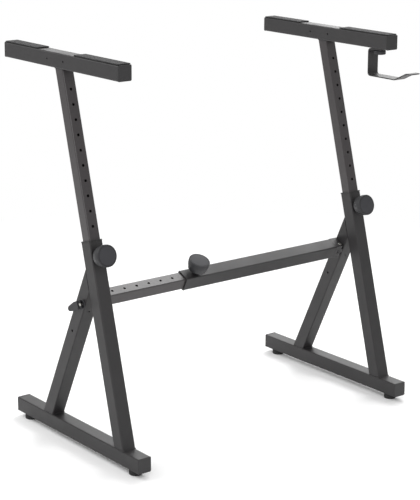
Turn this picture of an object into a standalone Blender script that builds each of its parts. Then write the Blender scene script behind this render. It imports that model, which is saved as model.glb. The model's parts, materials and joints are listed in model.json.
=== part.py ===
# Keyboard stand of square steel tube: two leaning side frames, a telescopic crossbar that the
# frames fold against, two height posts with rest arms, and a headphone hanger under one arm.
# Metres, +Z up, +Y to the rear, origin under the middle of the stand on the floor.

import math

import bmesh
import bpy
from mathutils import Matrix, Vector

# Driving dimensions
TUBE = 0.038
POST_TUBE = 0.032
WALL = 0.0015
GAP = 0.0003
WIDTH = 0.902
SHIFT_Y = -0.0039
HOLE_PITCH = 0.0375
HOLE_RADIUS = 0.00375
FOOT_BAR_LENGTH = 0.546
FOOT_SPREAD = 0.236
RUBBER_FOOT_RADIUS = 0.0165
RUBBER_FOOT_HEIGHT = 0.014
FRONT_LEG_LEAN = math.radians(15.0)
FRONT_LEG_BASE_Y = -0.210 + SHIFT_Y
FRONT_LEG_LENGTH = 0.518
REAR_LEG_LEAN = math.radians(25.5)
REAR_LEG_BASE_Y = 0.106 + SHIFT_Y
CROSSBAR_HEIGHT_ON_LEG = 0.365
CROSSBAR_MOUTH_X = -0.137
CROSSBAR_INSERTION = 0.085
CROSSBAR_FIRST_HOLE_X = -0.3605
CROSSBAR_HOLES = 9
KNOB_TO_MOUTH = 0.039
POST_INSERTION = 0.085
POST_REACH = 0.428
POST_FIRST_HOLE = 0.036
POST_HOLES_ABOVE = 10
POST_HOLES_BELOW = 3
ARM_LENGTH = 0.500
ARM_FRONT = 0.256
ARM_PIN_HOLES = (0.0468, -0.0245)
ARM_PIN_HOLE_RADIUS = 0.0025
PAD_THICKNESS = 0.003
PAD_INSET = 0.0023
REAR_PAD_START = 0.092
FRONT_PAD_END = -0.069
KNOB_RADIUS = 0.028
KNOB_FACE_HEIGHT = 0.040
PIN_RADIUS = 0.0032
BOSS_RADIUS = 0.009
BOSS_HEIGHT = 0.009
BLOCK_LENGTH = 0.0287
HINGE_TO_LEG = 0.010
HINGE_DEPTH = -0.010
HINGE_PIN_RADIUS = 0.003
KNUCKLE_RADIUS = 0.009
LUG_HALF_THICKNESS = 0.0055
DRAW_BOLT_RADIUS = 0.003
DRAW_BOLT_RISE = 0.002
LEVER_AXIS_HEIGHT = 0.0102
LEVER_LENGTH = 0.044
LEVER_ANGLE = math.radians(-51.5)
HANGER_WIDTH = 0.035
HANGER_THICKNESS = 0.003
HANGER_SCREW_Y = -0.157 + SHIFT_Y
HANGER_KNOB_RADIUS = 0.0165

# Worked out from the driving dimensions
HALF = TUBE / 2
BAR_BOTTOM = RUBBER_FOOT_HEIGHT
BAR_TOP = BAR_BOTTOM + TUBE
SIDE_X = WIDTH / 2 - HALF
LEG_FACE_X = SIDE_X - HALF
MOUTH = FRONT_LEG_LENGTH
FRONT_AXIS = Vector((0.0, math.sin(FRONT_LEG_LEAN), math.cos(FRONT_LEG_LEAN)))
FRONT_BACK = Vector((0.0, math.cos(FRONT_LEG_LEAN), -math.sin(FRONT_LEG_LEAN)))
REAR_AXIS = Vector((0.0, -math.sin(REAR_LEG_LEAN), math.cos(REAR_LEG_LEAN)))
REAR_BACK = Vector((0.0, math.cos(REAR_LEG_LEAN), math.sin(REAR_LEG_LEAN)))
FRONT_BASE = Vector((0.0, FRONT_LEG_BASE_Y, BAR_TOP)) + HALF * FRONT_BACK
REAR_BASE = Vector((0.0, REAR_LEG_BASE_Y, BAR_TOP)) + HALF * REAR_BACK
CROSSBAR = REAR_BASE + CROSSBAR_HEIGHT_ON_LEG * REAR_AXIS
ARM_CROSSING = FRONT_BASE + (MOUTH + POST_REACH) * FRONT_AXIS
ARM_BOTTOM = ARM_CROSSING.z
ARM_TOP = ARM_BOTTOM + TUBE
ARM_FRONT_Y = ARM_CROSSING.y - ARM_FRONT
ARM_REAR_Y = ARM_FRONT_Y + ARM_LENGTH
KNOB_SCREW_X = CROSSBAR_MOUTH_X + KNOB_TO_MOUTH
SIDES = (("left", -1), ("right", 1))
ROUND_STEPS = 20
SMALL_STEPS = 12


def clear_scene():
    for item in list(bpy.data.objects):
        bpy.data.objects.remove(item, do_unlink=True)


def make_material(name, colour, roughness, metallic=0.0):
    material = bpy.data.materials.new(name)
    material.use_nodes = True
    shader = material.node_tree.nodes["Principled BSDF"]
    shader.inputs["Base Color"].default_value = (*colour, 1.0)
    shader.inputs["Roughness"].default_value = roughness
    shader.inputs["Metallic"].default_value = metallic
    return material


def new_part(name, mesh_builder, material, matrix=None):
    """Turn a bmesh into a named object that stands at the given matrix."""
    bmesh.ops.recalc_face_normals(mesh_builder, faces=mesh_builder.faces)
    mesh = bpy.data.meshes.new(name)
    mesh_builder.to_mesh(mesh)
    mesh_builder.free()
    part = bpy.data.objects.new(name, mesh)
    bpy.context.scene.collection.objects.link(part)
    mesh.materials.append(material)
    mesh.shade_smooth()
    mesh.set_sharp_from_angle(angle=math.radians(35))
    if matrix is not None:
        part.matrix_world = matrix
    return part


def frame_at(origin, x_axis, y_axis, z_axis):
    """A placement from an origin and three right-handed unit axes."""
    rotation = Matrix((x_axis, y_axis, z_axis)).transposed().to_4x4()
    return Matrix.Translation(origin) @ rotation


def leaning(origin, angle):
    """A placement whose Z axis leans to the front by the given angle about X."""
    return Matrix.Translation(origin) @ Matrix.Rotation(angle, 4, "X")


def rounded_square(side, radius, steps=2):
    """Points of a square outline with arc corners, counter-clockwise."""
    points = []
    inset = side / 2 - radius
    for corner in range(4):
        start = corner * math.pi / 2
        centre_x = inset * (1 if corner in (0, 3) else -1)
        centre_y = inset * (1 if corner in (0, 1) else -1)
        for step in range(steps + 1):
            angle = start + step * math.pi / 2 / steps
            points.append((centre_x + radius * math.cos(angle), centre_y + radius * math.sin(angle)))
    return points


def ring_tube(outer, inner, low, high):
    """An open-ended tube along Z between two outlines of equal point count."""
    shape = bmesh.new()
    loops = []
    for outline, height in ((outer, low), (outer, high), (inner, high), (inner, low)):
        loops.append([shape.verts.new((x, y, height)) for x, y in outline])
    count = len(outer)
    for first, second in zip(loops, loops[1:] + loops[:1]):
        for index in range(count):
            after = (index + 1) % count
            shape.faces.new((first[index], first[after], second[after], second[index]))
    return shape


def square_tube(side, low, high):
    outer = rounded_square(side, 0.0025)
    inner = rounded_square(side - 2 * WALL, 0.001)
    return ring_tube(outer, inner, low, high)


def cut_end(shape, point, normal):
    """Cut an open tube off square to a plane and close its wall there."""
    geometry = shape.verts[:] + shape.edges[:] + shape.faces[:]
    result = bmesh.ops.bisect_plane(
        shape, geom=geometry, dist=1e-7, plane_co=point, plane_no=normal, clear_outer=True
    )
    rim = [item for item in result["geom_cut"] if isinstance(item, bmesh.types.BMEdge)]
    bmesh.ops.bridge_loops(shape, edges=rim)


def turned(profile, steps=ROUND_STEPS):
    """Spin a closed outline of (radius, height) points about Z."""
    shape = bmesh.new()
    verts = [shape.verts.new((radius, 0.0, height)) for radius, height in profile]
    edges = []
    for index, vert in enumerate(verts):
        after = verts[(index + 1) % len(verts)]
        on_axis = vert.co.x < 1e-9 and after.co.x < 1e-9
        if not on_axis:
            edges.append(shape.edges.new((vert, after)))
    bmesh.ops.spin(
        shape, geom=verts + edges, cent=(0, 0, 0), axis=(0, 0, 1), angle=math.tau, steps=steps,
        use_merge=True,
    )
    bmesh.ops.remove_doubles(shape, verts=shape.verts, dist=1e-6)
    return shape


def arc(centre, radius, start, end, steps):
    """Points on an arc from one angle to another, in degrees."""
    points = []
    for step in range(steps + 1):
        angle = math.radians(start + (end - start) * step / steps)
        points.append((centre[0] + radius * math.cos(angle), centre[1] + radius * math.sin(angle)))
    return points


def prism(outline, low, high):
    """Extrude a closed outline along Z."""
    shape = bmesh.new()
    face = shape.faces.new([shape.verts.new((x, y, low)) for x, y in outline])
    result = bmesh.ops.extrude_face_region(shape, geom=[face])
    raised = [item for item in result["geom"] if isinstance(item, bmesh.types.BMVert)]
    bmesh.ops.translate(shape, verts=raised, vec=(0, 0, high - low))
    return shape


def box(low, high):
    """A box between two corners."""
    outline = [(low[0], low[1]), (high[0], low[1]), (high[0], high[1]), (low[0], high[1])]
    return prism(outline, low[2], high[2])


def cylinder(radius, low, high, steps=SMALL_STEPS):
    return prism(arc((0, 0), radius, 0, 360, steps)[:-1], low, high)


def turn_shape(shape, matrix):
    bmesh.ops.transform(shape, matrix=matrix, verts=shape.verts)
    return shape


def soften(shape, width, angle=50.0):
    """Bevel the edges that are sharper than an angle."""
    edges = [edge for edge in shape.edges if edge.calc_face_angle(0.0) > math.radians(angle)]
    bmesh.ops.bevel(shape, geom=edges, offset=width, segments=1, profile=0.5, affect="EDGES")
    return shape


def merged(shapes):
    """Several separate cutter bodies in one mesh."""
    total = bmesh.new()
    for shape in shapes:
        mesh = bpy.data.meshes.new("cutter_piece")
        bmesh.ops.recalc_face_normals(shape, faces=shape.faces)
        shape.to_mesh(mesh)
        shape.free()
        total.from_mesh(mesh)
        bpy.data.meshes.remove(mesh)
    return total


def combine(part, shapes, operation="DIFFERENCE"):
    """Cut or join shapes, given in the part's own space, with a Boolean modifier."""
    shape = merged(shapes)
    mesh = bpy.data.meshes.new(part.name + "_tool")
    shape.to_mesh(mesh)
    shape.free()
    tool = bpy.data.objects.new(part.name + "_tool_" + str(len(part.modifiers)), mesh)
    bpy.context.scene.collection.objects.link(tool)
    tool.matrix_world = part.matrix_world
    tool.hide_render = True
    tool.display_type = "WIRE"
    modifier = part.modifiers.new("shape", "BOOLEAN")
    modifier.operation = operation
    modifier.solver = "EXACT"
    modifier.object = tool


def side_bore(x, y, z, radius, depth, axis):
    """A short cylinder cutter centred on a point and lying along one axis."""
    cutter = cylinder(radius, -depth / 2, depth / 2)
    if axis == "Y":
        turn_shape(cutter, Matrix.Rotation(math.pi / 2, 4, "X"))
    elif axis == "X":
        turn_shape(cutter, Matrix.Rotation(math.pi / 2, 4, "Y"))
    return turn_shape(cutter, Matrix.Translation((x, y, z)))


def carry(parts, empty):
    """Parent parts to an empty on their joint axis and leave them where they stand."""
    bpy.context.view_layer.update()
    for part in parts:
        part.parent = empty
        part.matrix_parent_inverse = empty.matrix_world.inverted()


def joint_empty(name, matrix):
    empty = bpy.data.objects.new(name, None)
    bpy.context.scene.collection.objects.link(empty)
    empty.matrix_world = matrix
    return empty


def make_materials():
    return {
        "steel": make_material("black_powder_coated_steel", (0.028, 0.027, 0.028), 0.45, 0.1),
        "post_steel": make_material("satin_powder_coated_steel", (0.045, 0.043, 0.044), 0.40, 0.1),
        "plastic": make_material("dark_grey_moulded_plastic", (0.035, 0.035, 0.04), 0.5),
        "cap": make_material("black_moulded_cap", (0.02, 0.02, 0.021), 0.55),
        "rubber": make_material("black_rubber", (0.012, 0.012, 0.013), 0.8),
        "zinc": make_material("zinc_plated_steel", (0.45, 0.45, 0.44), 0.35, 1.0),
    }


def lying_tube(name, x, low_y, high_y, bottom, material):
    """A square tube along Y whose underside is at the given height."""
    tube = square_tube(TUBE, low_y, high_y)
    centre = Vector((x, 0.0, bottom + HALF))
    placement = frame_at(centre, Vector((1, 0, 0)), Vector((0, 0, -1)), Vector((0, 1, 0)))
    return new_part(name, tube, material, placement)


def end_cap(name, x, y, bottom, outward, material):
    """A plug with a thin flange that closes a lying tube's end."""
    plug = prism(rounded_square(TUBE - 2 * WALL - 2 * GAP, 0.0012), -0.012, 0.0004)
    flange = soften(prism(rounded_square(TUBE + 0.001, 0.003), 0.0003, 0.0020), 0.0005)
    centre = Vector((x, y, bottom + HALF))
    z_axis = Vector((0, outward, 0))
    x_axis = Vector((1, 0, 0))
    cap = new_part(name, flange, material, frame_at(centre, x_axis, z_axis.cross(x_axis), z_axis))
    combine(cap, [plug], "UNION")
    return cap


def rubber_foot(name, x, y, material):
    """A turned rubber foot with a screw well in its underside."""
    top = RUBBER_FOOT_HEIGHT - GAP
    well = 0.006
    profile = [
        (0.0, top), (RUBBER_FOOT_RADIUS * 0.92, top), (RUBBER_FOOT_RADIUS, top - 0.002),
        (RUBBER_FOOT_RADIUS, 0.002), (RUBBER_FOOT_RADIUS - 0.002, 0.0), (0.0055, 0.0),
        (0.005, well), (0.0, well),
    ]
    return new_part(name, turned(profile), material, Matrix.Translation((x, y, 0.0)))


def front_leg(side, x, material):
    """The leaning front tube that the height post slides in."""
    shape = square_tube(TUBE, -0.03, MOUTH)
    placement = leaning(FRONT_BASE + Vector((x, 0, 0)), -FRONT_LEG_LEAN)
    floor_point = placement.inverted() @ Vector((x, 0.0, BAR_TOP + GAP))
    floor_normal = placement.to_3x3().inverted() @ Vector((0, 0, -1))
    cut_end(shape, floor_point, floor_normal)
    leg = new_part(side + "_front_leg", shape, material, placement)
    combine(leg, [side_bore(0, -HALF, MOUTH - KNOB_TO_MOUTH, PIN_RADIUS + 0.0004, 0.008, "Y")])
    return leg


def rear_leg(side, sign, x, material):
    """The rear strut, coped against the front leg and drilled for the draw bolt."""
    shape = square_tube(TUBE, -0.04, 0.52)
    placement = leaning(REAR_BASE + Vector((x, 0, 0)), REAR_LEG_LEAN)
    turn_back = placement.to_3x3().inverted()
    cut_end(shape, placement.inverted() @ Vector((x, 0, BAR_TOP + GAP)), turn_back @ Vector((0, 0, -1)))
    behind_front_leg = FRONT_BASE + Vector((x, 0, 0)) + (HALF + GAP) * FRONT_BACK
    cut_end(shape, placement.inverted() @ behind_front_leg, turn_back @ -FRONT_BACK)
    leg = new_part(side + "_rear_leg", shape, material, placement)
    bolt_height = CROSSBAR_HEIGHT_ON_LEG + DRAW_BOLT_RISE
    cutters = [
        side_bore(0, HINGE_DEPTH, bolt_height, DRAW_BOLT_RADIUS + 0.0004, 0.06, "X"),
        side_bore(0, 0.0, 0.272, 0.0035, 0.06, "X"),
        side_bore(0, -HALF, 0.3456, 0.0025, 0.008, "Y"),
    ]
    combine(leg, cutters)
    return leg


def mouth_bushing(name, placement, lip_side, material):
    """A plastic guide bushing with a lip that sits on a tube mouth, along local Z."""
    lip = ring_tube(rounded_square(lip_side, 0.003), rounded_square(POST_TUBE + 0.0008, 0.0027), 0.0003, 0.0025)
    bushing = new_part(name, lip, material, placement)
    outer = rounded_square(TUBE - 2 * WALL - 2 * GAP, 0.001)
    inner = rounded_square(POST_TUBE + 0.0008, 0.0027)
    combine(bushing, [ring_tube(outer, inner, -0.020, 0.0006)], "UNION")
    return bushing


def post(side, x, material):
    """The height post with its row of locking holes in the front wall."""
    shape = square_tube(POST_TUBE, MOUTH - POST_INSERTION, MOUTH + POST_REACH + 0.03)
    placement = leaning(FRONT_BASE + Vector((x, 0, 0)), -FRONT_LEG_LEAN)
    top_point = placement.inverted() @ Vector((x, 0.0, ARM_BOTTOM - GAP))
    cut_end(shape, top_point, placement.to_3x3().inverted() @ Vector((0, 0, 1)))
    bar = new_part(side + "_post", shape, material, placement)
    cutters = []
    for index in range(-POST_HOLES_BELOW, POST_HOLES_ABOVE):
        height = MOUTH + POST_FIRST_HOLE + index * HOLE_PITCH
        cutters.append(side_bore(0, -POST_TUBE / 2, height, HOLE_RADIUS, 0.006, "Y"))
    combine(bar, cutters)
    return bar


def arm(side, x, material):
    """The rest arm with its two cross holes and, on the right, the hanger's screw hole."""
    inset = 0.002
    bar = lying_tube(side + "_arm", x, ARM_FRONT_Y + inset, ARM_REAR_Y - inset, ARM_BOTTOM, material)
    cutters = []
    for offset in ARM_PIN_HOLES:
        cutters.append(side_bore(0, 0, ARM_CROSSING.y + offset, ARM_PIN_HOLE_RADIUS, 0.05, "X"))
    if side == "right":
        cutters.append(side_bore(0, HALF, HANGER_SCREW_Y, 0.0036, 0.008, "Y"))
    combine(bar, cutters)
    return bar


def pad(name, x, low_y, high_y, material):
    """A rubber strip on top of an arm."""
    half_width = 0.018
    low = (x - half_width, low_y, ARM_TOP + GAP)
    high = (x + half_width, high_y, ARM_TOP + GAP + PAD_THICKNESS)
    return new_part(name, soften(box(low, high), 0.0010), material)


def knob(name, placement, material):
    """A clamp knob: mushroom body with a rounded rim, hollow below round its hub."""
    face = KNOB_FACE_HEIGHT
    profile = [(0.0, face), (0.0235, face), (0.0240, face - 0.0006), (0.0250, face - 0.0006), (0.0255, face)]
    profile += arc((0.0255, face - 0.0025), 0.0025, 60, 0, 2)
    profile += [(KNOB_RADIUS, face - 0.012), (0.0262, 0.019), (0.0240, 0.0125), (0.0222, 0.0115)]
    profile += [(0.0205, 0.0125), (0.0205, 0.026), (0.0080, 0.027), (0.0075, 0.0175)]
    profile += [(PIN_RADIUS + 0.0004, 0.0175), (PIN_RADIUS + 0.0004, 0.0305), (0.0, 0.0305)]
    return new_part(name, turned(profile, 20), material, placement)


def knob_pin(name, placement, material):
    """The locking plunger: a pin with a chamfered tip that drops into the post's holes."""
    tip = -(TUBE - POST_TUBE) / 2 + 0.0005
    profile = [
        (0.0, 0.030), (PIN_RADIUS, 0.030), (PIN_RADIUS, tip + 0.001), (PIN_RADIUS - 0.001, tip), (0.0, tip)
    ]
    return new_part(name, turned(profile, SMALL_STEPS), material, placement)


def knob_boss(name, placement, material):
    """The welded boss that guides the plunger."""
    bore = PIN_RADIUS + 0.0004
    profile = [
        (bore, GAP), (BOSS_RADIUS, GAP), (BOSS_RADIUS, BOSS_HEIGHT - 0.001),
        (BOSS_RADIUS - 0.001, BOSS_HEIGHT), (bore, BOSS_HEIGHT),
    ]
    return new_part(name, turned(profile, SMALL_STEPS), material, placement)


def hinge_space(x):
    """Crossbar-section space at a hinge pin: X across, Y to the back, Z along the rear leg."""
    return leaning(CROSSBAR + Vector((x, 0, 0)) + HINGE_DEPTH * REAR_BACK, REAR_LEG_LEAN)


def hinge_block(side, sign, plug_side, material):
    """The crossbar's end: a fork with two knuckles about the pin and a plug in the tube."""
    reach = HINGE_TO_LEG - GAP
    front = -HALF - HINGE_DEPTH
    back = HALF - HINGE_DEPTH
    inner_end = reach - BLOCK_LENGTH + 0.0006
    rounded = arc((0, 0), KNUCKLE_RADIUS, -90, 0, 6)
    outline = [(inner_end, front)] + rounded + [(reach, 0.0), (reach, back), (inner_end, back)]
    if sign < 0:
        outline = [(-a, b) for a, b in reversed(outline)]
    shape = prism(outline, -HALF, HALF)
    block = new_part(side + "_hinge_block", shape, material, hinge_space(sign * (LEG_FACE_X - HINGE_TO_LEG)))
    half_plug = plug_side / 2
    middle = -HINGE_DEPTH
    near = sign * (inner_end - 0.020)
    far = sign * (inner_end + 0.0005)
    plug = box(
        (min(near, far), middle - half_plug, -half_plug), (max(near, far), middle + half_plug, half_plug)
    )
    combine(block, [soften(plug, 0.001)], "UNION")
    slot = cylinder(0.0138, -LUG_HALF_THICKNESS - 0.0004, LUG_HALF_THICKNESS + 0.0004, ROUND_STEPS)
    combine(block, [slot])
    combine(block, [cylinder(HINGE_PIN_RADIUS + 0.0003, -0.03, 0.03)])
    return block


def hinge_lug(side, sign, material):
    """The leg's single knuckle, which turns between the fork's two."""
    radius = 0.0085
    reach = HINGE_TO_LEG - GAP
    outline = arc((0, 0), radius, 90, 270, 8) + [(reach, -radius), (reach, radius)]
    if sign < 0:
        outline = [(-a, b) for a, b in reversed(outline)]
    shape = prism(outline, -LUG_HALF_THICKNESS, LUG_HALF_THICKNESS)
    lug = new_part(side + "_hinge_lug", shape, material, hinge_space(sign * (LEG_FACE_X - HINGE_TO_LEG)))
    combine(lug, [cylinder(HINGE_PIN_RADIUS + 0.0004, -0.03, 0.03)])
    combine(lug, [side_bore(sign * 0.010, 0, DRAW_BOLT_RISE, DRAW_BOLT_RADIUS + 0.0004, 0.009, "X")])
    return lug


def hinge_pin(side, sign, material):
    """The fold pin with its low round head on the crossbar's top face."""
    head = HALF + GAP
    profile = [
        (0.0, head + 0.0015), (0.0042, head + 0.0015), (0.005, head + 0.0008), (0.005, head),
        (HINGE_PIN_RADIUS, head), (HINGE_PIN_RADIUS, -HALF + 0.001), (0.0, -HALF + 0.001),
    ]
    return new_part(
        side + "_hinge_pin", turned(profile, SMALL_STEPS), material,
        hinge_space(sign * (LEG_FACE_X - HINGE_TO_LEG)),
    )


def lever_space(sign):
    """Space of a cam lever at its pin: Y along the lever, Z away from the leg."""
    outward = Vector((sign, 0, 0))
    along = math.cos(LEVER_ANGLE) * REAR_BACK + math.sin(LEVER_ANGLE) * REAR_AXIS
    centre = CROSSBAR + HINGE_DEPTH * REAR_BACK + DRAW_BOLT_RISE * REAR_AXIS
    centre = centre + outward * (WIDTH / 2 + LEVER_AXIS_HEIGHT)
    return frame_at(centre, along.cross(outward), along, outward)


def draw_bolt(side, sign, material):
    """The rod through the leg, from the lug to an eye on the lever's pin."""
    length = TUBE + LEVER_AXIS_HEIGHT + 0.0035
    rod = cylinder(DRAW_BOLT_RADIUS, -length, -0.003)
    bolt = new_part(side + "_draw_bolt", rod, material, lever_space(sign))
    eye = cylinder(0.0055, -0.003, 0.003)
    combine(bolt, [turn_shape(eye, Matrix.Rotation(math.pi / 2, 4, "Y"))], "UNION")
    combine(bolt, [side_bore(0, 0, 0, 0.0023, 0.02, "X")])
    return bolt


def cam_washer(side, sign, material):
    """The pressure washer between the cam and the leg."""
    low = -LEVER_AXIS_HEIGHT + GAP
    profile = [
        (DRAW_BOLT_RADIUS + 0.0004, low), (0.012, low), (0.012, low + 0.002),
        (0.011, low + 0.003), (DRAW_BOLT_RADIUS + 0.0004, low + 0.003),
    ]
    return new_part(side + "_cam_washer", turned(profile, 20), material, lever_space(sign))


def lock_lever(side, sign, material):
    """The cam lever: a paddle that narrows to a round tip, with an eccentric slotted barrel."""
    root = 0.011
    tip_radius = 0.0068
    centre = LEVER_LENGTH - tip_radius
    outline = [(root, -0.004), (root, 0.014)] + arc((0, centre), tip_radius, 10, 170, 6)
    outline += [(-root, 0.014), (-root, -0.004)]
    paddle = soften(prism(outline, 0.0025, 0.0088), 0.0012)
    lever = new_part(side + "_lock_lever", paddle, material, lever_space(sign))
    barrel = turn_shape(cylinder(0.0057, -0.0105, 0.0105), Matrix.Rotation(math.pi / 2, 4, "Y"))
    combine(lever, [turn_shape(barrel, Matrix.Translation((0, 0, -0.0008)))], "UNION")
    combine(lever, [box((-0.0034, -0.03, -0.03), (0.0034, 0.0036, 0.0036))])
    combine(lever, [turn_shape(cylinder(0.006, -0.0034, 0.0034), Matrix.Rotation(math.pi / 2, 4, "Y"))])
    combine(lever, [side_bore(0, 0, 0, 0.0023, 0.03, "X")])
    return lever


def lever_pin(side, sign, material):
    pin = turn_shape(cylinder(0.0019, -0.0100, 0.0100, 12), Matrix.Rotation(math.pi / 2, 4, "Y"))
    return new_part(side + "_lever_pin", pin, material, lever_space(sign))


def make_crossbar(materials):
    """The telescopic bar: inner tube with holes, outer tube, bushing, end blocks and clamp knob."""
    steel = materials["steel"]
    section = leaning(CROSSBAR, REAR_LEG_LEAN)
    along = section @ Matrix.Rotation(math.pi / 2, 4, "Y")
    block_end = LEG_FACE_X - GAP - BLOCK_LENGTH
    inner_end = CROSSBAR_MOUTH_X + CROSSBAR_INSERTION
    inner = new_part(
        "crossbar_inner_tube", square_tube(POST_TUBE, -block_end, inner_end), materials["post_steel"], along
    )
    cutters = []
    for index in range(CROSSBAR_HOLES):
        place = CROSSBAR_FIRST_HOLE_X + index * HOLE_PITCH
        cutters.append(side_bore(-POST_TUBE / 2, 0, place, HOLE_RADIUS, 0.006, "X"))
    combine(inner, cutters)
    outer = new_part("crossbar_outer_tube", square_tube(TUBE, CROSSBAR_MOUTH_X, block_end), steel, along)
    combine(outer, [side_bore(-HALF, 0, KNOB_SCREW_X, PIN_RADIUS + 0.0004, 0.008, "X")])
    mouth = Matrix.Translation((CROSSBAR_MOUTH_X, 0, 0)) @ section @ Matrix.Rotation(-math.pi / 2, 4, "Y")
    bushing = mouth_bushing("crossbar_bushing", mouth, TUBE + 0.001, materials["cap"])
    knob_place = section @ Matrix.Translation((KNOB_SCREW_X, 0, HALF))
    turning = knob("crossbar_knob", knob_place, materials["plastic"])
    pin = knob_pin("crossbar_knob_pin", knob_place, materials["zinc"])
    boss = knob_boss("crossbar_knob_boss", knob_place, steel)
    left_block = hinge_block("left", -1, POST_TUBE - 2 * WALL - 2 * GAP, steel)
    left_pin = hinge_pin("left", -1, materials["zinc"])
    right_block = hinge_block("right", 1, TUBE - 2 * WALL - 2 * GAP, steel)
    right_pin = hinge_pin("right", 1, materials["zinc"])
    left_axis = joint_empty("left_fold_axis", hinge_space(-(LEG_FACE_X - HINGE_TO_LEG)))
    carry([inner, left_block, left_pin], left_axis)
    slide_axis = joint_empty("width_slide_axis", section)
    carry([outer, bushing, boss, right_block, right_pin, turning, pin], slide_axis)


def make_frame(side, sign, materials):
    """One side frame with its feet, legs, bushing, lug and cam lock."""
    steel = materials["steel"]
    x = sign * SIDE_X
    half_bar = FOOT_BAR_LENGTH / 2
    inset = 0.002
    low_y = SHIFT_Y - half_bar
    high_y = SHIFT_Y + half_bar
    parts = [lying_tube(side + "_foot_bar", x, low_y + inset, high_y - inset, BAR_BOTTOM, steel)]
    parts.append(end_cap(side + "_foot_cap_front", x, low_y + inset, BAR_BOTTOM, -1, materials["cap"]))
    parts.append(end_cap(side + "_foot_cap_rear", x, high_y - inset, BAR_BOTTOM, 1, materials["cap"]))
    for end, place in (("front", -FOOT_SPREAD), ("rear", FOOT_SPREAD)):
        parts.append(rubber_foot(side + "_rubber_foot_" + end, x, SHIFT_Y + place, materials["rubber"]))
    parts.append(front_leg(side, x, steel))
    parts.append(rear_leg(side, sign, x, steel))
    mouth = leaning(FRONT_BASE + Vector((x, 0, 0)) + MOUTH * FRONT_AXIS, -FRONT_LEG_LEAN)
    parts.append(mouth_bushing(side + "_leg_bushing", mouth, TUBE + 0.002, materials["cap"]))
    screw = FRONT_BASE + Vector((x, 0, 0)) + (MOUTH - KNOB_TO_MOUTH) * FRONT_AXIS - HALF * FRONT_BACK
    knob_place = leaning(screw, math.pi / 2 - FRONT_LEG_LEAN)
    parts.append(knob_boss(side + "_knob_boss", knob_place, steel))
    parts.append(knob_pin(side + "_knob_pin", knob_place, materials["zinc"]))
    parts.append(knob(side + "_knob", knob_place, materials["plastic"]))
    parts.append(hinge_lug(side, sign, steel))
    parts.append(draw_bolt(side, sign, materials["zinc"]))
    parts.append(cam_washer(side, sign, materials["plastic"]))
    parts.append(lock_lever(side, sign, materials["plastic"]))
    parts.append(lever_pin(side, sign, materials["zinc"]))
    axis = joint_empty(side + "_frame_axis", hinge_space(sign * (LEG_FACE_X - HINGE_TO_LEG)))
    carry(parts, axis)


def make_post(side, sign, materials):
    """One height post with its rest arm, end caps and rubber pads."""
    x = sign * SIDE_X
    inset = 0.002
    parts = [post(side, x, materials["post_steel"]), arm(side, x, materials["steel"])]
    front_cap_y = ARM_FRONT_Y + inset
    parts.append(end_cap(side + "_arm_cap_front", x, front_cap_y, ARM_BOTTOM, -1, materials["cap"]))
    parts.append(end_cap(side + "_arm_cap_rear", x, ARM_REAR_Y - inset, ARM_BOTTOM, 1, materials["cap"]))
    rubber = materials["rubber"]
    low_y = ARM_FRONT_Y + PAD_INSET
    high_y = ARM_REAR_Y - PAD_INSET
    parts.append(pad(side + "_pad_rear", x, ARM_CROSSING.y + REAR_PAD_START, high_y, rubber))
    parts.append(pad(side + "_pad_front", x, low_y, ARM_CROSSING.y + FRONT_PAD_END, rubber))
    axis = joint_empty(side + "_post_axis", leaning(ARM_CROSSING + Vector((x, 0, 0)), -FRONT_LEG_LEAN))
    carry(parts, axis)
    return axis


def hanger_path():
    """The hanger's middle line as (y, z) corners with their bend radii."""
    top = ARM_BOTTOM - GAP - HANGER_THICKNESS / 2
    bottom = ARM_BOTTOM - 0.0743
    return [
        (-0.1785 + SHIFT_Y, top, 0.0), (-0.132 + SHIFT_Y, top, 0.008), (-0.132 + SHIFT_Y, bottom, 0.008),
        (-0.233 + SHIFT_Y, bottom, 0.012), (-0.274 + SHIFT_Y, bottom + 0.020, 0.012),
        (-0.2893 + SHIFT_Y, bottom + 0.020, 0.0),
    ]


def bent_line(corners, steps=4):
    """Replace each corner of a line by an arc of its bend radius."""
    points = [Vector(corners[0][:2])]
    for before, corner, after in zip(corners, corners[1:], corners[2:]):
        here = Vector(corner[:2])
        back = (Vector(before[:2]) - here).normalized()
        ahead = (Vector(after[:2]) - here).normalized()
        half_angle = back.angle(ahead) / 2
        reach = corner[2] / math.tan(half_angle)
        centre = here + (back + ahead).normalized() * corner[2] / math.sin(half_angle)
        first = here + back * reach - centre
        last = here + ahead * reach - centre
        turn = first.angle_signed(last)
        for step in range(steps + 1):
            spoke = Matrix.Rotation(-turn * step / steps, 2) @ first
            points.append(centre + spoke)
    points.append(Vector(corners[-1][:2]))
    return points


def hanger(x, material):
    """A bent steel strip: top flange, drop, shelf and raised lip."""
    line = bent_line(hanger_path())
    left_side = []
    right_side = []
    for index, point in enumerate(line):
        ahead = line[min(index + 1, len(line) - 1)] - line[max(index - 1, 0)]
        normal = Vector((-ahead.y, ahead.x)).normalized() * HANGER_THICKNESS / 2
        left_side.append(point + normal)
        right_side.append(point - normal)
    shape = bmesh.new()
    half = HANGER_WIDTH / 2
    rings = []
    for upper, lower in zip(left_side, right_side):
        corners = ((half, upper), (half, lower), (-half, lower), (-half, upper))
        rings.append([shape.verts.new((x + side, point.x, point.y)) for side, point in corners])
    for first, second in zip(rings, rings[1:]):
        for index in range(4):
            after = (index + 1) % 4
            shape.faces.new((first[index], first[after], second[after], second[index]))
    shape.faces.new(rings[0])
    shape.faces.new(rings[-1])
    strip = new_part("headphone_hanger", shape, material)
    combine(strip, [side_bore(x, HANGER_SCREW_Y, ARM_BOTTOM, 0.0036, 0.012, "Z")])
    return strip


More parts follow.
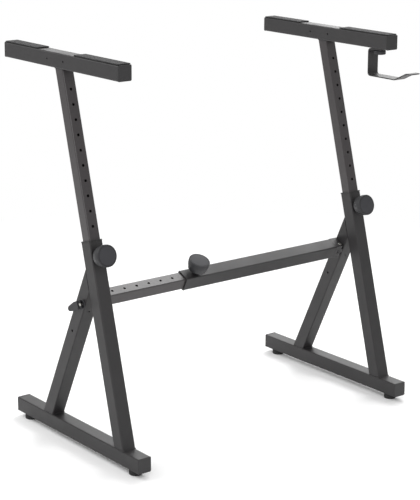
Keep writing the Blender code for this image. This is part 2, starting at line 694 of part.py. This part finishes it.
def hanger_knob(x, material):
    """A small turned thumb knob with its stud through the flange and the arm's wall."""
    top = -GAP - HANGER_THICKNESS - GAP
    radius = HANGER_KNOB_RADIUS
    profile = [
        (0.0, 0.008), (0.0028, 0.008), (0.003, top), (0.009, top), (0.009, top - 0.002),
        (radius - 0.0015, top - 0.002), (radius, top - 0.0035), (radius, top - 0.0115),
        (radius - 0.0015, top - 0.013), (0.0, top - 0.013),
    ]
    place = Matrix.Translation((x, HANGER_SCREW_Y, ARM_BOTTOM))
    return new_part("hanger_knob", turned(profile), material, place)


def main():
    clear_scene()
    materials = make_materials()
    make_crossbar(materials)
    post_axes = {}
    for side, sign in SIDES:
        make_frame(side, sign, materials)
        post_axes[side] = make_post(side, sign, materials)
    hung = [hanger(SIDE_X, materials["steel"]), hanger_knob(SIDE_X, materials["plastic"])]
    carry(hung, post_axes["right"])


main()
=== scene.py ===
"""Looks of a folding keyboard stand: powder-coated tube, moulded knobs, rubber pads and feet.

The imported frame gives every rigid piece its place. This script dresses those pieces, turns
smooth knobs and feet, lays the weld beads, and sets the floor, light and camera.
"""

import json
import logging
import math
from dataclasses import dataclass
from enum import Enum

import bpy
import numpy as np
from mathutils import Matrix, Vector


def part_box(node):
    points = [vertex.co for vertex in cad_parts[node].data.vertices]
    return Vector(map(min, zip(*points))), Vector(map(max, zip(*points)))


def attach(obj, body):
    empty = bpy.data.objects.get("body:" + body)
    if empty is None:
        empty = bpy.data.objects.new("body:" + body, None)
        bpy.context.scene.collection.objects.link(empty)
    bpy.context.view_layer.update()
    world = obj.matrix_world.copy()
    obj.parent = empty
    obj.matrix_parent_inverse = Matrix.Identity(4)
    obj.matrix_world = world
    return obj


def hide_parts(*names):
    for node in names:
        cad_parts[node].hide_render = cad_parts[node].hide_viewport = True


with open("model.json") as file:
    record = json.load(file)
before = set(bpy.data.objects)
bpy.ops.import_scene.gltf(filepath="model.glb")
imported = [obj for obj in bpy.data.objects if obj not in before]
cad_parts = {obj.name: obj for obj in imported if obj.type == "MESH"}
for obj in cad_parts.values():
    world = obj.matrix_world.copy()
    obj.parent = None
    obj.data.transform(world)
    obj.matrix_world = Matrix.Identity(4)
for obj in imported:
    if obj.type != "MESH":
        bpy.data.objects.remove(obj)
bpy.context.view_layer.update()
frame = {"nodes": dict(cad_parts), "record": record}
LOG = logging.getLogger("keyboard_stand")
MM = 0.001
SIDES = ("left", "right")
WHITE = "#ffffff"

# The legs' square tube, the posts' smaller one, and how far each leans from upright
LEG_HALF = 19.0 * MM
POST_HALF = 16.0 * MM
FRONT_LEAN = math.radians(15.0)
REAR_LEAN = math.radians(25.5)

# A shading edge sharper than this stays a crease
CREASE = math.radians(40.0)

# Colour and roughness drift over patches of this size, and the bump is this deep
DRIFT_MM = 60.0
BUMP_MM = 0.2
SMOOTHER = 0.05
ROUGHER = 0.07

# A colour Mix node's sockets, by number because their names repeat for every data type
MIX_A = 6
MIX_B = 7
MIX_RESULT = 2


class Surface(Enum):
    """How a surface was made, with the grain in millimetres that this leaves."""

    SPRAYED = ("sprayed with powder and baked", 1.6)
    GRAINED = ("moulded in a spark-eroded tool", 0.9)
    WAXY = ("moulded in a plain tool", 1.2)
    PRESSED = ("pressed rubber", 0.8)
    PLATED = ("turned and plated", 0.8)

    def __init__(self, making: str, grain_mm: float) -> None:
        """Keep the two values under names of their own.

        Args:
            making: how the surface was made, in words.
            grain_mm: the size of its fine relief.
        """
        self.making = making
        self.grain_mm = grain_mm


@dataclass(frozen=True)
class Finish:
    """One real material: its name, its two hex colours and how its surface was made."""

    name: str
    colour: str
    tint: str
    roughness: float
    surface: Surface
    relief: float
    slot: str
    metallic: float = 0.0


# Polyester powder coat, sprayed and baked: a satin black skin with a fine orange peel
POWDER_BLACK = Finish("powder_coat_black", "#272526", "#201f20", 0.50, Surface.SPRAYED, 0.10,
                      "powder_coated_steel")
# The same coat, smoother on the sliding tubes; its lighter colour is painted sheen, standing in for the
# reflection of the top light on their tops
POWDER_SATIN_PAINTED_SHEEN = Finish("powder_coat_satin_painted_sheen", "#393536", "#322f30", 0.30, Surface.SPRAYED, 0.08,
                      "powder_coated_steel")
# Injection-moulded ABS with a spark-eroded grain: matte dark grey
MOULDED_GREY = Finish("abs_dark_grey", "#252528", "#1f1f22", 0.55, Surface.GRAINED, 0.14,
                      "moulded_plastic")
# The knob's face inlay, a slightly paler grained ABS that reads bare and matte
INLAY_GREY = Finish("abs_face_inlay", "#313135", "#2b2b2f", 0.62, Surface.GRAINED, 0.16,
                    "moulded_plastic")
# Polyethylene caps and bushings, a little waxy
MOULDED_CAP = Finish("polyethylene_black", "#242324", "#1e1d1e", 0.48, Surface.WAXY, 0.10,
                     "cap_plastic")
# Natural rubber, matte with a dusty bloom
RUBBER_BLACK = Finish("rubber_black", "#1b1b1c", "#242324", 0.80, Surface.PRESSED, 0.20, "rubber")
# Bright zinc plating on turned steel
ZINC = Finish("zinc_plated_steel", "#b4b3ae", "#a2a19c", 0.34, Surface.PLATED, 0.04, "zinc_steel",
              1.0)
FINISHES = (POWDER_BLACK, POWDER_SATIN_PAINTED_SHEEN, MOULDED_GREY, INLAY_GREY, MOULDED_CAP, RUBBER_BLACK, ZINC)
SLIDING_NODES = ("left_post", "right_post", "crossbar_inner_tube")


def linear(hex_colour: str) -> tuple[float, float, float, float]:
    """Turn an sRGB hex colour into linear values.

    Args:
        hex_colour: a colour such as "#3a393a".

    Returns:
        Red, green, blue and an alpha of 1, by the sRGB curve.
    """
    values = np.array([int(hex_colour[i:i + 2], 16) for i in (1, 3, 5)]) / 255.0
    curve = np.where(values <= 0.04045, values / 12.92, ((values + 0.055) / 1.055) ** 2.4)
    return (float(curve[0]), float(curve[1]), float(curve[2]), 1.0)


def add_node(tree: bpy.types.NodeTree, kind: str, settings: dict, links: dict) -> bpy.types.Node:
    """Add one node with its settings and its incoming links.

    Args:
        tree: the node tree.
        kind: the node's type name.
        settings: property names, or socket names with "in:" before them, and their values.
        links: input socket names and the output sockets that feed them.

    Returns:
        The new node.
    """
    node = tree.nodes.new(kind)
    for key, value in settings.items():
        if key.startswith("in:"):
            node.inputs[key[3:]].default_value = value
        else:
            setattr(node, key, value)
    for key, source in links.items():
        tree.links.new(source, node.inputs[key])
    return node


def make_material(finish: Finish) -> bpy.types.Material:
    """Build a finish as a procedural material on Object coordinates.

    Args:
        finish: the finish to build.

    Returns:
        A material with broad colour drift, roughness drift and a fine bump at the grain's size.
    """
    material = bpy.data.materials.new(finish.name)
    material.use_nodes = True
    tree = material.node_tree
    shader = tree.nodes["Principled BSDF"]
    shader.inputs["Metallic"].default_value = finish.metallic
    place = add_node(tree, "ShaderNodeTexCoord", {}, {})
    drift_scale = 1.0 / (DRIFT_MM * MM)
    drift = add_node(tree, "ShaderNodeTexNoise", {"in:Scale": drift_scale, "in:Detail": 3.0},
                     {"Vector": place.outputs["Object"]})
    colour = add_node(tree, "ShaderNodeMix", {"data_type": "RGBA"}, {"Factor": drift.outputs["Fac"]})
    colour.inputs[MIX_A].default_value = linear(finish.colour)
    colour.inputs[MIX_B].default_value = linear(finish.tint)
    tree.links.new(colour.outputs[MIX_RESULT], shader.inputs["Base Color"])
    grain_scale = 1.0 / (finish.surface.grain_mm * MM)
    grain = add_node(tree, "ShaderNodeTexNoise", {"in:Scale": grain_scale, "in:Detail": 2.0},
                     {"Vector": place.outputs["Object"]})
    rough = add_node(tree, "ShaderNodeMapRange",
                     {"in:To Min": finish.roughness - SMOOTHER, "in:To Max": finish.roughness + ROUGHER},
                     {"Value": drift.outputs["Fac"]})
    tree.links.new(rough.outputs["Result"], shader.inputs["Roughness"])
    bump = add_node(tree, "ShaderNodeBump", {"in:Strength": finish.relief, "in:Distance": BUMP_MM * MM},
                    {"Height": grain.outputs["Fac"]})
    tree.links.new(bump.outputs["Normal"], shader.inputs["Normal"])
    LOG.info("%s is %s", finish.name, finish.surface.making)
    return material


def grid_mesh(name: str, points: np.ndarray, faces: np.ndarray,
              poles: list[list[int]]) -> bpy.types.Object:
    """Put computed points and faces into a new object at the origin.

    Args:
        name: the piece's name.
        points: vertex places, one row each.
        faces: quads as rows of four indices.
        poles: triangles that close the poles.

    Returns:
        The linked object, shaded smooth with sharp creases kept.
    """
    mesh = bpy.data.meshes.new(name)
    mesh.from_pydata(points.tolist(), [], faces.tolist() + poles)
    mesh.shade_smooth()
    mesh.set_sharp_from_angle(angle=CREASE)
    piece = bpy.data.objects.new(name, mesh)
    bpy.context.scene.collection.objects.link(piece)
    return piece


def revolve(name: str, profile: np.ndarray, steps: int, place: Matrix) -> bpy.types.Object:
    """Turn a profile about its Z axis.

    The point of ring i and step j is (r_i cos a_j, r_i sin a_j, z_i). The profile's first and
    last points lie on the axis and close the shape as poles. The faces run from the upper rings
    to the lower ones, then come the upper pole's triangles and last the lower pole's.

    Args:
        name: the piece's name.
        profile: (radius, height) rows from the upper pole to the lower pole.
        steps: how many facets go round.
        place: where the profile's axis stands.

    Returns:
        The turned piece.
    """
    angles = np.linspace(0.0, math.tau, steps, endpoint=False)
    rings = profile[1:-1]
    radius = rings[:, 0][:, None]
    height = np.repeat(rings[:, 1][:, None], steps, axis=1)
    points = np.stack([radius * np.cos(angles), radius * np.sin(angles), height], axis=-1).reshape(-1, 3)
    count = len(rings)
    points = np.vstack([points, [[0, 0, profile[0, 1]], [0, 0, profile[-1, 1]]]])
    ring = np.arange(count - 1)[:, None] * steps
    step = np.arange(steps)[None, :]
    after = (step + 1) % steps
    faces = np.stack([ring + step, ring + steps + step, ring + steps + after, ring + after], axis=-1)
    upper = count * steps
    last = (count - 1) * steps
    poles = [[upper, j, (j + 1) % steps] for j in range(steps)]
    poles += [[upper + 1, last + (j + 1) % steps, last + j] for j in range(steps)]
    turn = np.array(place.to_3x3())
    world = points @ turn.T + np.array(place.translation)
    return grid_mesh(name, world, faces.reshape(-1, 4), poles)


def fillet(corners: list[tuple[float, float, float]], steps: int = 5) -> np.ndarray:
    """Round each corner of a line by its own radius.

    Each corner is replaced by the arc that touches both of its sides.

    Args:
        corners: (radius from axis, height, corner radius) rows.
        steps: how many pieces each arc has.

    Returns:
        The line's points.
    """
    line = [np.array(corners[0][:2])]
    for before, corner, after in zip(corners, corners[1:], corners[2:]):
        here = np.array(corner[:2])
        back = np.array(before[:2]) - here
        ahead = np.array(after[:2]) - here
        back = back / np.linalg.norm(back)
        ahead = ahead / np.linalg.norm(ahead)
        half = math.acos(float(np.clip(back @ ahead, -1, 1))) / 2
        middle = back + ahead
        centre = here + middle / np.linalg.norm(middle) * corner[2] / math.sin(half)
        reach = corner[2] / math.tan(half)
        first = here + back * reach - centre
        last = here + ahead * reach - centre
        sweep = math.pi - 2 * half
        weights = np.linspace(0.0, 1.0, steps + 1)[:, None]
        arc = (np.sin((1 - weights) * sweep) * first + np.sin(weights * sweep) * last) / math.sin(sweep)
        line.extend(centre + arc)
    line.append(np.array(corners[-1][:2]))
    return np.array(line)


def joint(name: str) -> dict:
    """Find a joint of the frame by name.

    Args:
        name: the joint's name in the record.

    Returns:
        The joint's record entry.
    """
    return next(item for item in frame["record"]["behaviour"]["joints"] if item["name"] == name)


@dataclass
class ClampKnob:
    """A clamp knob: a moulded mushroom with an inlaid face and a groove inside its rim."""

    name: str
    radius: float = 28.0 * MM
    face: float = 40.0 * MM
    inlay_radius: float = 23.3 * MM
    groove_inner: float = 23.8 * MM
    groove_outer: float = 24.8 * MM
    groove_depth: float = 0.7 * MM
    rim_radius: float = 25.2 * MM
    side_height: float = 12.0 * MM
    skirt_radius: float = 24.0 * MM
    skirt_inner: float = 20.8 * MM
    skirt_height: float = 12.0 * MM
    hollow_radius: float = 20.5 * MM
    hollow_roof: float = 26.0 * MM
    hub_top: float = 27.0 * MM
    hub_radius: float = 8.0 * MM
    hub_end_radius: float = 7.5 * MM
    hub_end: float = 17.5 * MM
    bore: float = 3.6 * MM
    bore_top: float = 30.5 * MM
    fine_round: float = 0.2 * MM
    hub_round: float = 0.5 * MM
    skirt_round: float = 0.8 * MM
    hollow_round: float = 2.0 * MM
    edge_round: float = 2.2 * MM
    shoulder_round: float = 8.0 * MM
    steps: int = 96

    def place(self) -> Matrix:
        """Stand the knob on its joint's axis, facing away from the tube.

        Returns:
            The matrix from the knob's own frame to the stand's.
        """
        turning = joint(self.name + "_turn")
        outward = -Vector(turning["axis"]).normalized()
        across = Vector((1, 0, 0))
        rotation = Matrix((across, outward.cross(across), outward)).transposed().to_4x4()
        return Matrix.Translation(Vector(turning["pos_m"])) @ rotation

    def profile(self) -> np.ndarray:
        """The knob's section from the middle of its face, over the skirt, to its hub's bore.

        Returns:
            (radius, height) rows with every corner rounded.
        """
        floor = self.face - self.groove_depth
        corners = [
            (0.0, self.face, 0.0),
            (self.inlay_radius, self.face, self.fine_round),
            (self.groove_inner, floor, self.fine_round),
            (self.groove_outer, floor, self.fine_round),
            (self.rim_radius, self.face, self.fine_round),
            (self.radius, self.face, self.edge_round),
            (self.radius, self.face - self.side_height, self.shoulder_round),
            (self.skirt_radius, self.skirt_height, self.skirt_round),
            (self.skirt_inner, self.skirt_height, self.skirt_round),
            (self.hollow_radius, self.hollow_roof, self.hollow_round),
            (self.hub_radius, self.hub_top, self.hollow_round),
            (self.hub_end_radius, self.hub_end, self.hub_round),
            (self.bore, self.hub_end, self.fine_round),
            (self.bore, self.bore_top, self.fine_round),
            (0.0, self.bore_top, 0.0),
        ]
        return fillet(corners)

    def build(self, material: bpy.types.Material, inlay: bpy.types.Material) -> None:
        """Turn the knob, dress its body and its face inlay, and let it ride on its body.

        Args:
            material: the body's material.
            inlay: the material of the face inlay, which is the upper pole's triangles.
        """
        piece = revolve(self.name + "_turned", self.profile(), self.steps, self.place())
        piece.data.materials.append(material)
        piece.data.materials.append(inlay)
        count = len(piece.data.polygons)
        slots = np.zeros(count, dtype=np.int32)
        slots[count - 2 * self.steps:count - self.steps] = 1
        piece.data.polygons.foreach_set("material_index", slots)
        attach(piece, self.name)
        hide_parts(self.name)
        LOG.info("turned %s", piece.name)


@dataclass
class RubberFoot:
    """A round rubber foot with a screw well in its underside."""

    side: str
    end: str
    radius: float = 16.5 * MM
    top_share: float = 0.94
    taper_height: float = 2.0 * MM
    well_mouth: float = 5.5 * MM
    well_radius: float = 5.0 * MM
    well_depth: float = 6.0 * MM
    top_round: float = 0.6 * MM
    taper_round: float = 2.0 * MM
    sole_round: float = 1.8 * MM
    mouth_round: float = 0.4 * MM
    well_round: float = 0.5 * MM
    steps: int = 72

    def build(self, material: bpy.types.Material) -> None:
        """Turn the foot where its node stands.

        Args:
            material: the rubber.
        """
        node = f"{self.side}_rubber_foot_{self.end}"
        low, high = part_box(node)
        top = high[2]
        corners = [
            (0.0, top, 0.0),
            (self.radius * self.top_share, top, self.top_round),
            (self.radius, top - self.taper_height, self.taper_round),
            (self.radius, 0.0, self.sole_round),
            (self.well_mouth, 0.0, self.mouth_round),
            (self.well_radius, self.well_depth, self.well_round),
            (0.0, self.well_depth, 0.0),
        ]
        centre = ((low[0] + high[0]) / 2, (low[1] + high[1]) / 2, 0.0)
        piece = revolve(node + "_turned", fillet(corners), self.steps, Matrix.Translation(centre))
        piece.data.materials.append(material)
        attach(piece, self.side + "_frame")
        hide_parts(node)
        LOG.info("turned %s", piece.name)


@dataclass
class WeldBead:
    """A rippled bead round a tube where it meets a flat face."""

    name: str
    body: str
    centre: tuple[float, float, float]
    half_x: float
    half_y: float
    thickness: float = 1.5 * MM
    ripple: float = 2.6 * MM
    swell: float = 0.14
    corner: float = 2.5 * MM
    steps: int = 240
    section: int = 10

    def path(self) -> tuple[np.ndarray, np.ndarray]:
        """Follow a rounded rectangle, with even steps along its length.

        Each point is a point of the rectangle inset by the corner radius, pushed outward by that
        radius. On a straight side the outward direction stays, and at a corner it turns evenly.

        Returns:
            The points and their outward unit vectors in the face's plane.
        """
        a, b, r = self.half_x - self.corner, self.half_y - self.corner, self.corner
        arc = math.pi / 2 * r
        stretches = np.array([2 * b, arc, 2 * a, arc, 2 * b, arc, 2 * a, arc])
        ends = np.concatenate([[0], np.cumsum(stretches)])
        s = np.linspace(0, ends[-1], self.steps, endpoint=False)
        span = np.clip(np.searchsorted(ends, s, side="right") - 1, 0, len(stretches) - 1)
        t = (s - ends[span]) / stretches[span]
        quarter = span // 2
        straight = span % 2 == 0
        angle = quarter * math.pi / 2 + np.where(straight, 0.0, t * math.pi / 2)
        corner_x = np.array([a, -a, -a, a])[quarter]
        corner_y = np.array([b, b, -b, -b])[quarter]
        start_x = np.array([a, a, -a, -a])[quarter]
        start_y = np.array([-b, b, b, -b])[quarter]
        base_x = np.where(straight, start_x + (corner_x - start_x) * t, corner_x)
        base_y = np.where(straight, start_y + (corner_y - start_y) * t, corner_y)
        flat = np.zeros(self.steps)
        out = np.stack([np.cos(angle), np.sin(angle), flat], axis=-1)
        points = np.stack([base_x, base_y, flat], axis=-1) + r * out
        return points + np.array(self.centre), out

    def build(self, material: bpy.types.Material) -> None:
        """Sweep a round section along the path.

        The section's radius is the thickness times one plus the swell times the sine of the
        ripple's phase.

        Args:
            material: the coat over the weld.
        """
        points, out = self.path()
        around = np.linspace(0, math.tau, self.section, endpoint=False)
        ripples = round(4 * (self.half_x + self.half_y) / self.ripple)
        phase = 2 * math.pi * np.arange(self.steps) / self.steps * ripples
        radius = self.thickness * (1 + self.swell * np.sin(phase))
        up = np.array([0.0, 0.0, 1.0])
        shape = points[:, None, :] + radius[:, None, None] * (
            np.cos(around)[None, :, None] * out[:, None, :] + np.sin(around)[None, :, None] * up
        )
        i = np.arange(self.steps)[:, None] * self.section
        j = np.arange(self.section)[None, :]
        i_next = (i + self.section) % (self.steps * self.section)
        j_next = (j + 1) % self.section
        faces = np.stack([i + j, i_next + j, i_next + j_next, i + j_next], axis=-1).reshape(-1, 4)
        piece = grid_mesh(self.name, shape.reshape(-1, 3), faces[:, ::-1], [])
        piece.data.materials.append(material)
        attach(piece, self.body)
        LOG.info("laid %s", piece.name)


@dataclass(frozen=True)
class Lamp:
    """One wide soft lamp that faces the stand: its place and size in metres, its power in watts."""

    name: str
    place: tuple[float, float, float]
    size: float
    power: float

    def build(self) -> None:
        """Hang the lamp, out of the camera's sight."""
        lamp = bpy.data.lights.new(self.name, "AREA")
        lamp.size = self.size
        lamp.energy = self.power
        holder = bpy.data.objects.new(self.name, lamp)
        holder.location = self.place
        facing = Vector((0.0, 0.0, 0.5)) - Vector(self.place)
        holder.rotation_euler = facing.to_track_quat("-Z", "Y").to_euler()
        holder.visible_camera = False
        bpy.context.scene.collection.objects.link(holder)


@dataclass
class Studio:
    """A plain pale floor, four soft lamps and the camera at about the photograph's angle.

    The focal length is in pixels of a picture frame_px high, and the angles are in radians.
    """

    focal_px: float = 1602.0
    frame_px: float = 500.0
    sensor_mm: float = 36.0
    place: tuple[float, float, float] = (-2.5573, -3.2015, 1.5590)
    yaw: float = 0.6711
    pitch: float = -0.2291
    roll: float = 0.0051
    shift: float = -0.12
    far: float = 60.0
    floor_half: float = 14.0
    fade_start: float = 0.9
    fade_end: float = 2.2
    fill: float = 0.62
    lamps: tuple[Lamp, ...] = (
        Lamp("window", (-2.2, 1.6, 2.6), 2.2, 45.0), Lamp("front", (-1.4, -2.8, 2.0), 2.2, 34.0),
        Lamp("top", (2.7, 1.3, 3.7), 2.6, 110.0), Lamp("rear", (2.8, 3.4, 1.9), 2.4, 45.0),
    )

    def make_floor(self) -> None:
        """A wide pale floor that keeps the stand's soft shadow."""
        half = self.floor_half
        corners = np.array([[-half, -half, 0], [half, -half, 0], [half, half, 0], [-half, half, 0]])
        floor = grid_mesh("studio_floor", corners, np.array([[0, 1, 2, 3]]), [])
        material = bpy.data.materials.new("pale_floor")
        material.use_nodes = True
        tree = material.node_tree
        shader = tree.nodes["Principled BSDF"]
        shader.inputs["Base Color"].default_value = linear(WHITE)
        shader.inputs["Roughness"].default_value = 1.0
        shader.inputs["Specular IOR Level"].default_value = 0.0
        # The camera sees the floor fade into the white surround round the stand
        place = add_node(tree, "ShaderNodeTexCoord", {}, {})
        reach = add_node(tree, "ShaderNodeVectorMath", {"operation": "LENGTH"},
                         {0: place.outputs["Object"]})
        fade = add_node(tree, "ShaderNodeMapRange",
                        {"in:From Min": self.fade_start, "in:From Max": self.fade_end},
                        {"Value": reach.outputs["Value"]})
        path = add_node(tree, "ShaderNodeLightPath", {}, {})
        seen = add_node(tree, "ShaderNodeMath", {"operation": "MULTIPLY"},
                        {0: fade.outputs["Result"], 1: path.outputs["Is Camera Ray"]})
        white = add_node(tree, "ShaderNodeEmission", {"in:Color": linear(WHITE), "in:Strength": 1.0}, {})
        both = add_node(tree, "ShaderNodeMixShader", {},
                        {0: seen.outputs[0], 1: shader.outputs[0], 2: white.outputs[0]})
        tree.links.new(both.outputs[0], tree.nodes["Material Output"].inputs["Surface"])
        floor.data.materials.append(material)

    def make_surround(self) -> None:
        """A surround that the camera sees as white and that lights the stand less strongly."""
        world = bpy.data.worlds.new("white_surround")
        bpy.context.scene.world = world
        world.use_nodes = True
        tree = world.node_tree
        tree.nodes.clear()
        path = add_node(tree, "ShaderNodeLightPath", {}, {})
        seen = add_node(tree, "ShaderNodeMath", {"operation": "MAXIMUM"},
                        {0: path.outputs["Is Camera Ray"], 1: path.outputs["Is Transmission Ray"]})
        fill = add_node(tree, "ShaderNodeBackground",
                        {"in:Color": linear(WHITE), "in:Strength": self.fill}, {})
        white = add_node(tree, "ShaderNodeBackground", {"in:Color": linear(WHITE), "in:Strength": 1.0}, {})
        both = add_node(tree, "ShaderNodeMixShader", {},
                        {0: seen.outputs[0], 1: fill.outputs[0], 2: white.outputs[0]})
        add_node(tree, "ShaderNodeOutputWorld", {}, {"Surface": both.outputs[0]})

    def make_camera(self) -> None:
        """The camera; its sensor's size goes with the picture's longer side, which is its height."""
        lens = bpy.data.cameras.new("photo_camera")
        lens.sensor_width = self.sensor_mm
        lens.lens = self.focal_px / self.frame_px * self.sensor_mm
        lens.shift_y = self.shift
        lens.clip_end = self.far
        holder = bpy.data.objects.new("photo_camera", lens)
        holder.location = self.place
        aim = Matrix.Rotation(-self.yaw, 3, "Z") @ Matrix.Rotation(math.pi / 2 + self.pitch, 3, "X")
        holder.rotation_euler = (aim @ Matrix.Rotation(self.roll, 3, "Z")).to_euler()
        bpy.context.scene.collection.objects.link(holder)
        bpy.context.scene.camera = holder

    def build(self) -> None:
        """Set up the whole studio."""
        bpy.context.scene.view_settings.view_transform = "Standard"
        self.make_floor()
        for lamp in self.lamps:
            lamp.build()
        self.make_surround()
        self.make_camera()


def dress_frame(materials: dict[str, bpy.types.Material]) -> None:
    """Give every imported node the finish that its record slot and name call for.

    Args:
        materials: the built materials by finish name.
    """
    slots = {item["node"]: item["material_slot"] for item in frame["record"]["subparts"]}
    plain = (POWDER_BLACK, MOULDED_GREY, MOULDED_CAP, RUBBER_BLACK, ZINC)
    by_slot = {finish.slot: finish for finish in plain}
    for name, node in frame["nodes"].items():
        # The sliding tubes take the smoother coat, whose lighter colour is painted sheen
        finish = POWDER_SATIN_PAINTED_SHEEN if name in SLIDING_NODES else by_slot[slots[name]]
        node.data.materials.clear()
        node.data.materials.append(materials[finish.name])
    LOG.info("dressed %d nodes", len(frame["nodes"]))


def leg_welds(side: str) -> list[WeldBead]:
    """The beads of one side: both legs on the foot bar and the post under its arm.

    Args:
        side: "left" or "right".

    Returns:
        The beads, with their places read from the frame's boxes.
    """
    bar_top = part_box(side + "_foot_bar")[1][2]
    front_low, front_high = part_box(side + "_front_leg")
    rear_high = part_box(side + "_rear_leg")[1]
    post_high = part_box(side + "_post")[1]
    x = (front_low[0] + front_high[0]) / 2
    # Half the length that a leaning tube cuts out of a level face
    front_half = LEG_HALF / math.cos(FRONT_LEAN)
    rear_half = LEG_HALF / math.cos(REAR_LEAN)
    post_half = POST_HALF / math.cos(FRONT_LEAN)
    beads = (
        ("front_leg", "frame", (x, front_low[1] + front_half, bar_top), LEG_HALF, front_half),
        ("rear_leg", "frame", (x, rear_high[1] - rear_half, bar_top), LEG_HALF, rear_half),
        ("post", "post", (x, post_high[1] - post_half, post_high[2]), POST_HALF, post_half),
    )
    return [
        WeldBead(f"{side}_{tube}_weld", f"{side}_{body}", centre, half_x, half_y)
        for tube, body, centre, half_x, half_y in beads
    ]


def main() -> None:
    """Dress the frame, add the turned pieces and welds, and set up the studio."""
    logging.basicConfig(level=logging.INFO)
    materials = {finish.name: make_material(finish) for finish in FINISHES}
    dress_frame(materials)
    for part in (*SIDES, "crossbar"):
        ClampKnob(part + "_knob").build(materials[MOULDED_GREY.name], materials[INLAY_GREY.name])
    for side in SIDES:
        for end in ("front", "rear"):
            RubberFoot(side, end).build(materials[RUBBER_BLACK.name])
        for bead in leg_welds(side):
            bead.build(materials[POWDER_BLACK.name])
    Studio().build()


if __name__ == "__main__":
    main()
